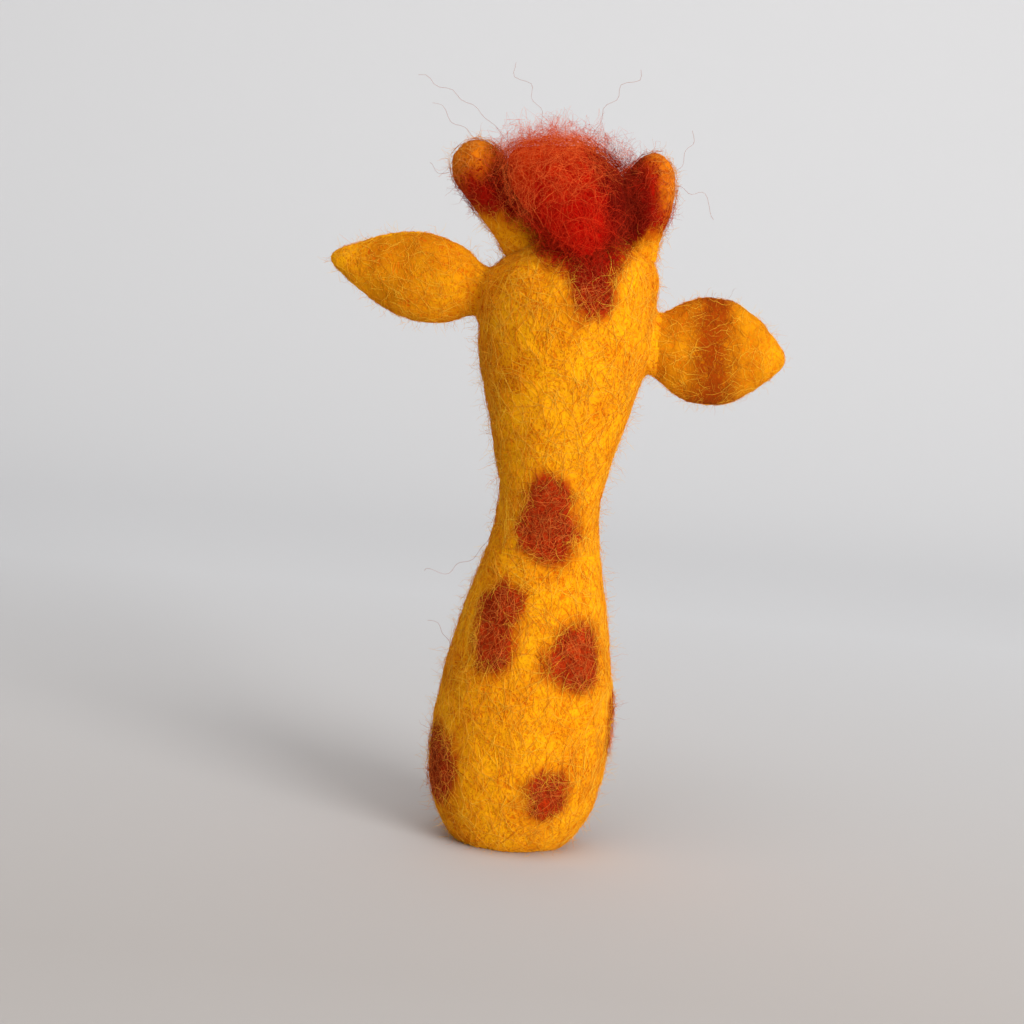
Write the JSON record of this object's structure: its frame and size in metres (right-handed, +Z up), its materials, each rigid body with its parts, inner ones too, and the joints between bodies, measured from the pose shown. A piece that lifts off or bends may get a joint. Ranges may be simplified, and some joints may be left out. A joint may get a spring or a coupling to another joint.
{
  "type": "finger puppet",
  "caption": "Needle-felted giraffe finger puppet: hollow wool body, long neck, leaf-shaped ears, knobbed horns, a loose red tuft and felted-in rust spots.",
  "frame": {"origin": "on the plane of the flat rim of the finger hole, under the middle of the puppet's outline seen from above", "axes": "+Z up the body, the face looks along -Y, the puppet's own left is +X"},
  "size_m": [0.0766, 0.0412, 0.1166],
  "materials": {
    "gold_wool": "matte needle-felted wool",
    "rust_wool": "matte needle-felted wool",
    "horn_wool": "matte needle-felted wool",
    "red_wool": "matte needle-felted wool",
    "dark_wool": "matte needle-felted wool",
    "black_bead": "polished bead"
  },
  "bodies": {
    "root": {"body": "gold_wool", "left_ear": "gold_wool", "right_ear": "gold_wool", "left_horn": "horn_wool", "right_horn": "horn_wool", "tuft": "red_wool", "left_eye": "black_bead", "right_eye": "black_bead", "left_nostril": "dark_wool", "right_nostril": "dark_wool", "nape_spot": "rust_wool", "neck_spot_back": "rust_wool", "shoulder_spot_left": "rust_wool", "shoulder_spot_right": "rust_wool", "side_spot_left": "rust_wool", "rump_spot": "rust_wool", "side_spot_right": "rust_wool", "neck_spot_front": "rust_wool", "chest_spot_left": "rust_wool", "chest_spot_right": "rust_wool", "belly_spot": "rust_wool", "belly_spot_right": "rust_wool", "left_ear_lining": "rust_wool", "right_ear_lining": "rust_wool"}
  },
  "joints": []
}
